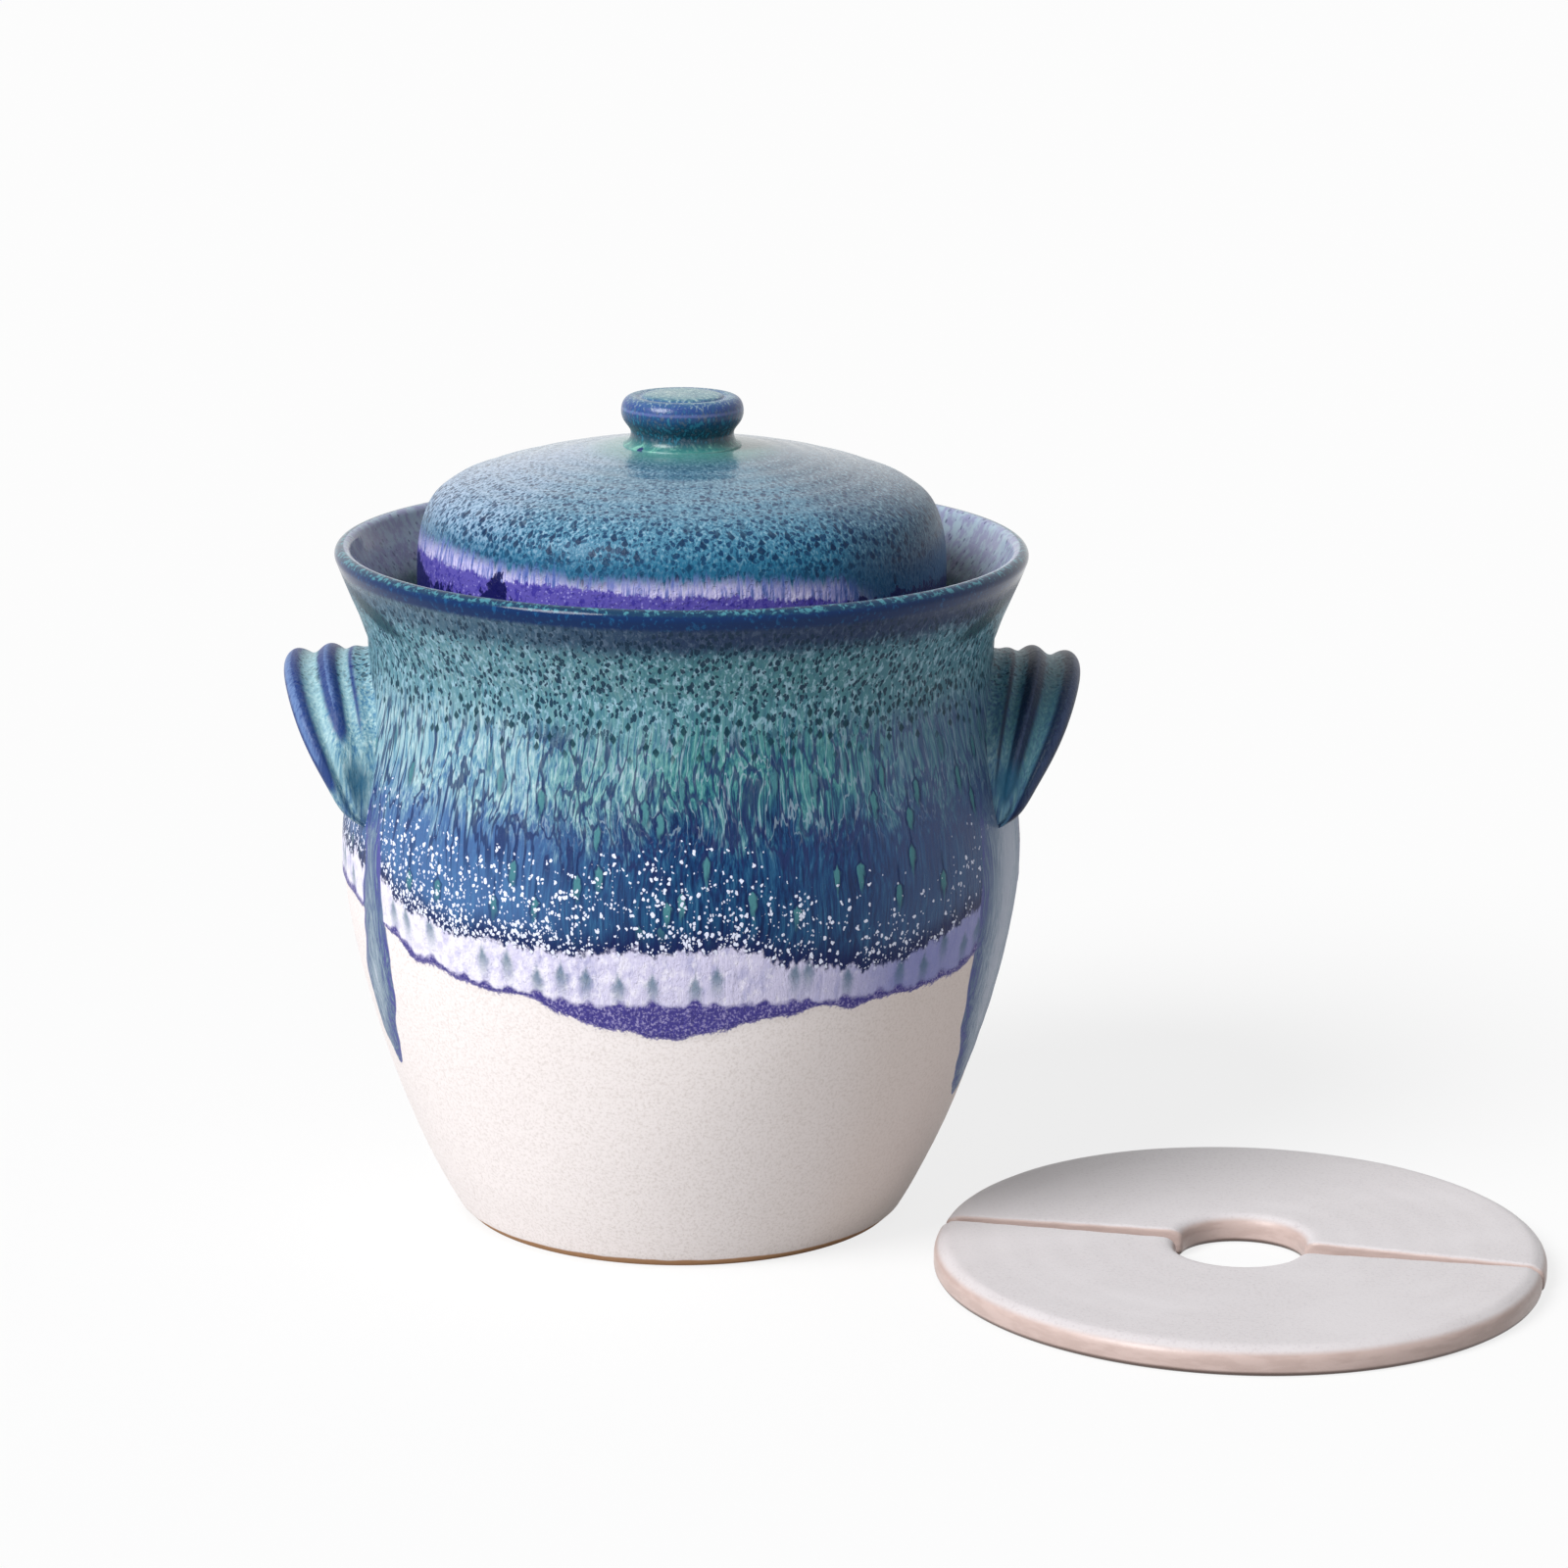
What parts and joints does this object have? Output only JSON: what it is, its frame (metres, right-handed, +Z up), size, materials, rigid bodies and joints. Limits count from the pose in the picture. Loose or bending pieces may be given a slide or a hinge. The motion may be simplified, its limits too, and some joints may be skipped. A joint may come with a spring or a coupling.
{
  "type": "water seal pickle jar",
  "caption": "Thrown stoneware fermenting crock with a water gutter round its throat, a domed lid that stands in it, lug handles, and a split pierced weight beside it.",
  "frame": {"origin": "centre of the crock's flat base", "axes": "+Z up along the crock's axis, the handles along X, the weights lie in front (-Y) and to the right (+X)"},
  "size_m": [0.3922, 0.2746, 0.2609],
  "materials": {
    "crock_glaze": "teal and cobalt gloss glaze over a satin cream lower body",
    "gutter_glaze": "grey-purple gloss glaze",
    "handle_glaze": "teal gloss glaze with cobalt ridges",
    "lid_glaze": "speckled teal gloss glaze with a lavender edge",
    "knob_glaze": "cobalt and teal gloss glaze",
    "weight_glaze": "satin pale grey glaze"
  },
  "bodies": {
    "crock": {"crock_wall": "crock_glaze", "throat_collar": "gutter_glaze", "handle_right": "handle_glaze", "handle_left": "handle_glaze"},
    "lid": {"lid_dome": "lid_glaze", "lid_knob": "knob_glaze"},
    "back_weight": {"weight_back": "weight_glaze"},
    "front_weight": {"weight_front": "weight_glaze"}
  },
  "joints": [
    {"name": "lid_lift", "type": "slide", "parent": "crock", "child": "lid", "axis": [0, 0, 1], "range_m": [0, 0.12]},
    {"name": "weight_back_lift", "type": "slide", "parent": "crock", "child": "back_weight", "axis": [0.4855, -0.12, 0.866], "range_m": [0, 0.3]},
    {"name": "weight_front_lift", "type": "slide", "parent": "crock", "child": "front_weight", "axis": [0.4855, -0.12, 0.866], "range_m": [0, 0.3]}
  ]
}
